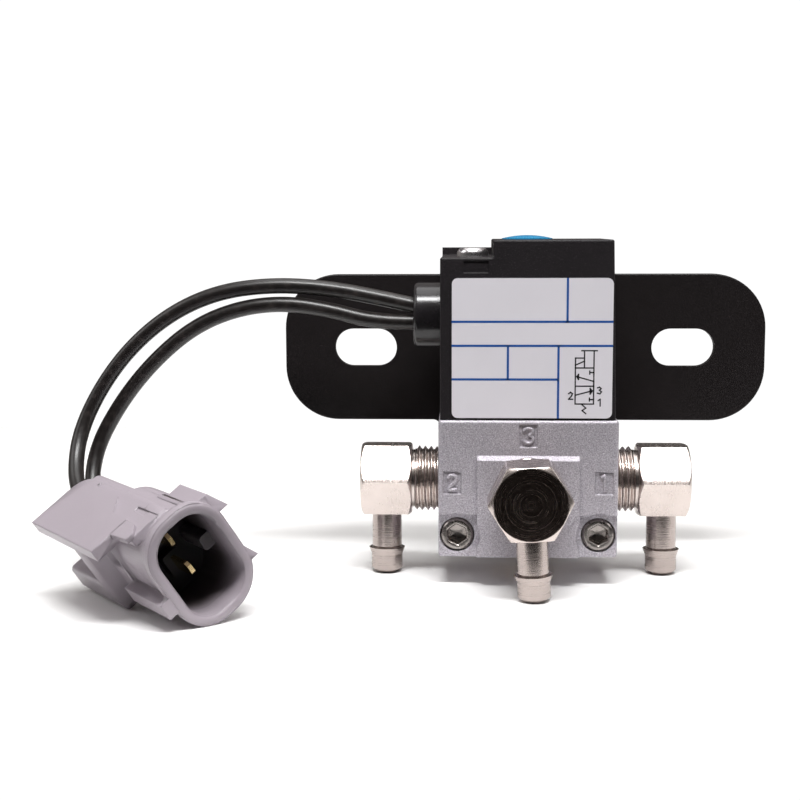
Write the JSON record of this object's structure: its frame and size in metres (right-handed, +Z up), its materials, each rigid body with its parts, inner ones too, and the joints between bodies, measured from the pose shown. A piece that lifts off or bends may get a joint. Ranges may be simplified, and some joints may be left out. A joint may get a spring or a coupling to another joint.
{
  "type": "boost control solenoid",
  "caption": "Three-port electric air valve: metal body with elbow hose barbs, square coil housing with a manual button, slotted bracket and a short lead with a plug.",
  "frame": {"origin": "middle of the bracket's back face, half way between its two slots", "axes": "+X to the valve's right along the bracket, +Y out of the bracket's back face, +Z up towards the button"},
  "size_m": [0.114, 0.0527, 0.0544],
  "materials": {
    "bracket_black": "black powder coat with a fine texture",
    "body_cast": "bluish grey, finely blasted",
    "screw_dark": "dark oiled steel with bright edges",
    "screw_bright": "bright zinc",
    "housing_plastic": "fine grained purplish black moulding",
    "label_sheet": "silver grey film",
    "collar_plastic": "glossy black",
    "rubber_black": "matt black rubber",
    "core_steel": "plain steel",
    "bobbin_plastic": "natural nylon",
    "winding_copper": "enamelled copper wire, as one solid",
    "valve_brass": "turned brass",
    "spring_steel": "spring wire",
    "button_blue": "azure plastic",
    "lead_sheath": "black sheath with a soft sheen",
    "connector_plastic": "grey lilac plastic",
    "retainer_plastic": "black plastic",
    "terminal_gold": "gold plated",
    "fitting_nickel": "nickel plated, brushed",
    "barb_nickel": "nickel plated, turned"
  },
  "bodies": {
    "root": {"barb_front": "barb_nickel", "barb_left": "barb_nickel", "barb_right": "barb_nickel", "bobbin": "bobbin_plastic", "bottom_plug": "valve_brass", "bracket": "bracket_black", "button_spring": "spring_steel", "cap_screws": "screw_dark", "coil_housing": "housing_plastic", "coil_winding": "winding_copper", "connector_housing": "connector_plastic", "connector_retainer": "retainer_plastic", "connector_terminals": "terminal_gold", "elbow_front": "fitting_nickel", "elbow_left": "fitting_nickel", "elbow_right": "fitting_nickel", "flux_frame": "core_steel", "frame_screws": "screw_dark", "guide_tube": "valve_brass", "housing_screw": "screw_bright", "lead_collar": "collar_plastic", "lead_inner": "lead_sheath", "lead_outer": "lead_sheath", "lead_seal": "rubber_black", "lower_seat": "valve_brass", "plug_seal": "rubber_black", "pole_piece": "core_steel", "pole_seal": "rubber_black", "rating_label": "label_sheet", "return_spring": "spring_steel", "upper_seat": "valve_brass", "valve_body": "body_cast", "wire_seals": "rubber_black"},
    "plunger": {"armature": "core_steel", "push_pin": "core_steel", "poppet": "valve_brass", "poppet_seals": "rubber_black", "spring_cup": "core_steel"},
    "button": {"manual_button": "button_blue"}
  },
  "joints": [
    {"name": "plunger_stroke", "type": "slide", "parent": "root", "child": "plunger", "axis": [0, 0, -1], "range_m": [0, 0.0008], "stiffness_N_per_m": 500, "springref_m": -0.004, "deforming": ["return_spring"]},
    {"name": "button_press", "type": "slide", "parent": "root", "child": "button", "axis": [0, 0, -1], "range_m": [0, 0.0008], "stiffness_N_per_m": 150, "springref_m": -0.003, "deforming": ["button_spring"]}
  ],
  "couplings": [
    {"joint": "button_press", "follows": "plunger_stroke", "ratio": 1}
  ]
}
